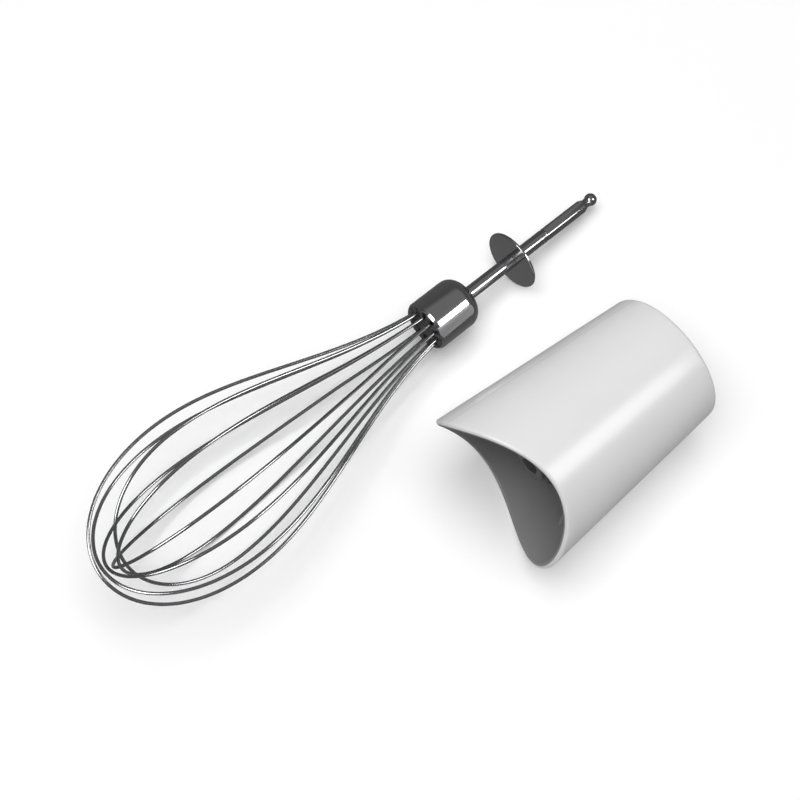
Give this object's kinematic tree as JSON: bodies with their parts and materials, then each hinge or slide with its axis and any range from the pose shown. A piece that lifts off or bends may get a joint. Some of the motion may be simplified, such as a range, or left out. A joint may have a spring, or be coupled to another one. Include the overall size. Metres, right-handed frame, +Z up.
{
  "type": "immersion blender whisk attachment",
  "caption": "Immersion blender whisk attachment laid out for assembly: a tapered drive adapter with a planetary gearbox inside, and the ball-ended wire whisk that plugs into it.",
  "frame": {"origin": "on the table, under the middle of the box round both pieces", "axes": "+Z up; +X along the whisk, towards its ball end; +Y from the adapter towards the whisk"},
  "size_m": [0.2288, 0.124, 0.0611],
  "materials": {
    "shell_white": "gloss moulded",
    "polished_steel": "mirror polished",
    "shaft_steel": "ground",
    "wire_steel": "electropolished",
    "grey_plastic": "moulded",
    "natural_nylon": "moulded",
    "bush_bronze": "sintered",
    "seal_rubber": "moulded",
    "spring_steel": "drawn wire"
  },
  "bodies": {
    "adapter": {"housing_shell": "shell_white", "gearbox_case": "grey_plastic", "gearbox_cover": "grey_plastic", "ring_gear": "natural_nylon", "lip_seal": "seal_rubber", "front_bush": "bush_bronze", "rear_bush": "bush_bronze", "input_bush": "bush_bronze", "gearbox_screw_1": "polished_steel", "gearbox_screw_2": "polished_steel", "gearbox_screw_3": "polished_steel"},
    "output": {"output_spindle": "shaft_steel", "planet_carrier": "shaft_steel", "retaining_spring": "spring_steel", "planet_pin_1": "shaft_steel", "planet_pin_2": "shaft_steel", "planet_pin_3": "shaft_steel"},
    "input": {"input_shaft": "shaft_steel", "sun_gear": "shaft_steel", "drive_coupling": "grey_plastic"},
    "planet_1": {"planet_gear_1": "natural_nylon"},
    "planet_2": {"planet_gear_2": "natural_nylon"},
    "planet_3": {"planet_gear_3": "natural_nylon"},
    "whisk": {"drive_shaft": "shaft_steel", "stop_disc": "polished_steel", "collar": "polished_steel", "wire_hub": "grey_plastic", "wire_loop_1": "wire_steel", "wire_loop_2": "wire_steel", "wire_loop_3": "wire_steel", "wire_loop_4": "wire_steel", "wire_loop_5": "wire_steel", "wire_loop_6": "wire_steel"}
  },
  "joints": [
    {"name": "output_spin", "type": "hinge", "parent": "adapter", "child": "output", "pos_m": [0.08111, -0.03362, 0.02485], "axis": [-0.9965, 0.0325, 0.0771], "continuous": true},
    {"name": "input_spin", "type": "hinge", "parent": "adapter", "child": "input", "pos_m": [0.08111, -0.03362, 0.02485], "axis": [-0.9965, 0.0325, 0.0771], "continuous": true},
    {"name": "planet_spin_1", "type": "hinge", "parent": "output", "child": "planet_1", "pos_m": [0.03261, -0.02276, 0.03417], "axis": [-0.9965, 0.0325, 0.0771], "continuous": true},
    {"name": "planet_spin_2", "type": "hinge", "parent": "output", "child": "planet_2", "pos_m": [0.03105, -0.03184, 0.01789], "axis": [-0.9965, 0.0325, 0.0771], "continuous": true},
    {"name": "planet_spin_3", "type": "hinge", "parent": "output", "child": "planet_3", "pos_m": [0.03198, -0.04145, 0.03391], "axis": [-0.9965, 0.0325, 0.0771], "continuous": true},
    {"name": "whisk_lift", "type": "slide", "parent": "adapter", "child": "whisk", "axis": [0, 0, 1], "range_m": [0, 0.12]}
  ],
  "couplings": [
    {"joint": "input_spin", "follows": "output_spin", "ratio": 4.5},
    {"joint": "planet_spin_1", "follows": "output_spin", "ratio": -2.8},
    {"joint": "planet_spin_2", "follows": "output_spin", "ratio": -2.8},
    {"joint": "planet_spin_3", "follows": "output_spin", "ratio": -2.8}
  ]
}
